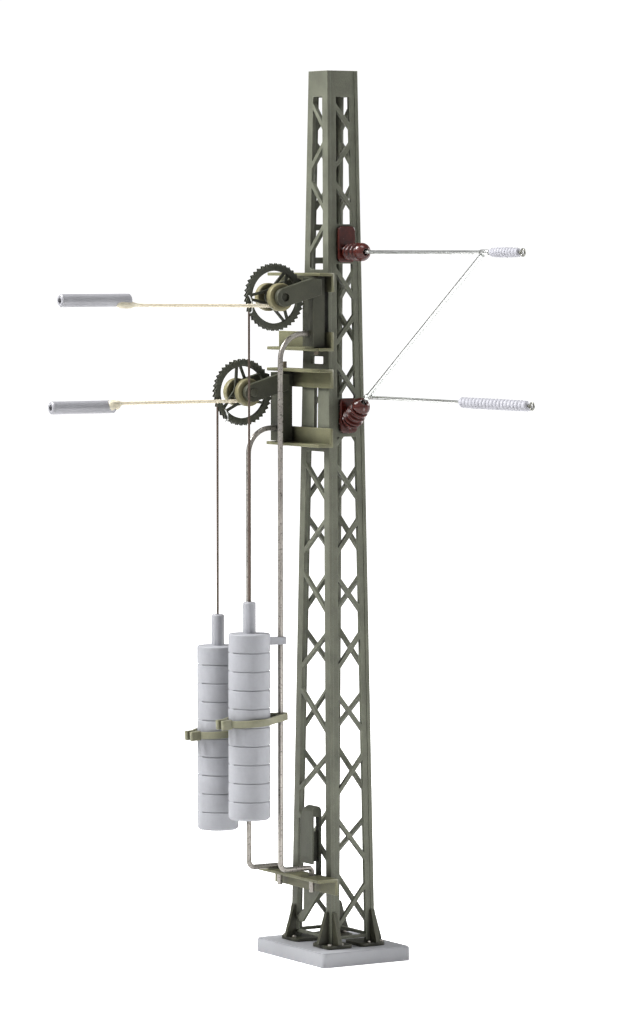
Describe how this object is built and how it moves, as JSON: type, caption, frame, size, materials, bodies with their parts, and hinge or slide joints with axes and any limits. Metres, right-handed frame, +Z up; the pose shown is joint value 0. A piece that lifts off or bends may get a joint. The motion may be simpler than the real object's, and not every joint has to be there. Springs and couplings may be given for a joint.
{
  "type": "model railway overhead-line tensioning mast",
  "caption": "Tapered lattice mast on a base plate with geared tensioning wheels, weight stacks on guide rods and an insulated cantilever arm, for a small-gauge model railway.",
  "frame": {"origin": "centre of the base plate's bottom face", "axes": "+Z up the mast, +X the way the cantilever arm points, -Y the side the tensioning wheels and weights hang on"},
  "size_m": [0.0574, 0.0494, 0.118],
  "materials": {
    "base_grey": "satin light grey paint",
    "mast_paint": "satin grey-green paint",
    "olive_metal": "satin olive-beige paint",
    "pin_metal": "satin brown paint",
    "dark_wheel": "satin dark olive paint",
    "yoke_metal": "satin olive paint",
    "rod_steel": "satin grey metal",
    "cable": "fine brown wire",
    "pale_grey": "satin pale grey paint",
    "rope": "twisted pale thread",
    "glaze": "glossy dark brown glaze",
    "coil_white": "satin near-white paint",
    "silver": "bright drawn tube"
  },
  "bodies": {
    "mast": {"base_plate": "base_grey", "wheel_side_panel": "mast_paint", "rear_panel": "mast_paint", "arm_side_panel": "mast_paint", "back_panel": "mast_paint", "foot_1": "mast_paint", "foot_2": "mast_paint", "foot_3": "mast_paint", "foot_4": "mast_paint", "foot_bolts": "mast_paint", "upper_top_bracket": "olive_metal", "upper_bottom_bracket": "olive_metal", "lower_top_bracket": "olive_metal", "lower_bottom_bracket": "olive_metal", "rod_foot_bracket": "olive_metal", "arch_strap": "mast_paint", "upper_post": "olive_metal", "lower_post": "olive_metal", "upper_pivot_pin": "pin_metal", "lower_pivot_pin": "pin_metal", "upper_fork_yoke": "olive_metal", "lower_fork_yoke": "olive_metal", "upper_front_lever": "olive_metal", "upper_rear_lever": "olive_metal", "lower_front_lever": "olive_metal", "lower_rear_lever": "olive_metal", "upper_axle": "olive_metal", "lower_axle": "olive_metal", "upper_weight_cable": "cable", "lower_weight_cable": "cable", "upper_guide_rod": "rod_steel", "lower_guide_rod": "rod_steel", "upper_tension_rope": "rope", "lower_tension_rope": "rope", "upper_insulator": "glaze", "lower_insulator": "glaze", "upper_arm_tube": "silver", "lower_arm_tube": "silver", "arm_strut": "silver", "elbow_clip": "silver", "lower_arm_joint": "silver", "upper_arm_coil": "coil_white", "lower_arm_coil": "coil_white", "upper_arm_hook": "silver", "lower_arm_hook": "silver"},
    "upper_weight_body": {"upper_weight": "pale_grey", "upper_guide_yoke": "yoke_metal"},
    "lower_weight_body": {"lower_weight": "pale_grey", "lower_guide_yoke": "yoke_metal"},
    "upper_wheel_body": {"upper_wheel": "dark_wheel", "upper_front_drum": "olive_metal", "upper_rear_drum": "olive_metal"},
    "lower_wheel_body": {"lower_wheel": "dark_wheel", "lower_front_drum": "olive_metal", "lower_rear_drum": "olive_metal"},
    "upper_rope_body": {"upper_sleeve": "pale_grey"},
    "lower_rope_body": {"lower_sleeve": "pale_grey"}
  },
  "joints": [
    {"name": "upper_weight_slide", "type": "slide", "parent": "mast", "child": "upper_weight_body", "axis": [0, 0, 1], "range_m": [-0.014, 0.022], "deforming": ["upper_weight_cable"]},
    {"name": "upper_wheel_turn", "type": "hinge", "parent": "mast", "child": "upper_wheel_body", "pos_m": [0.0023, -0.01045, 0.0882], "axis": [1, 0, 0], "range_deg": [-340, 220]},
    {"name": "upper_rope_slide", "type": "slide", "parent": "mast", "child": "upper_rope_body", "axis": [0, -1, 0], "range_m": [-0.0045, 0.007], "deforming": ["upper_tension_rope"]},
    {"name": "lower_weight_slide", "type": "slide", "parent": "mast", "child": "lower_weight_body", "axis": [0, 0, 1], "range_m": [-0.014, 0.022], "deforming": ["lower_weight_cable"]},
    {"name": "lower_wheel_turn", "type": "hinge", "parent": "mast", "child": "lower_wheel_body", "pos_m": [-0.006, -0.01045, 0.0755], "axis": [1, 0, 0], "range_deg": [-340, 220]},
    {"name": "lower_rope_slide", "type": "slide", "parent": "mast", "child": "lower_rope_body", "axis": [0, -1, 0], "range_m": [-0.0045, 0.007], "deforming": ["lower_tension_rope"]}
  ],
  "couplings": [
    {"joint": "upper_wheel_turn", "follows": "upper_weight_slide", "rad_per_m": -262.47},
    {"joint": "upper_rope_slide", "follows": "upper_weight_slide", "ratio": 0.29921},
    {"joint": "lower_wheel_turn", "follows": "lower_weight_slide", "rad_per_m": -262.47},
    {"joint": "lower_rope_slide", "follows": "lower_weight_slide", "ratio": 0.29921}
  ]
}
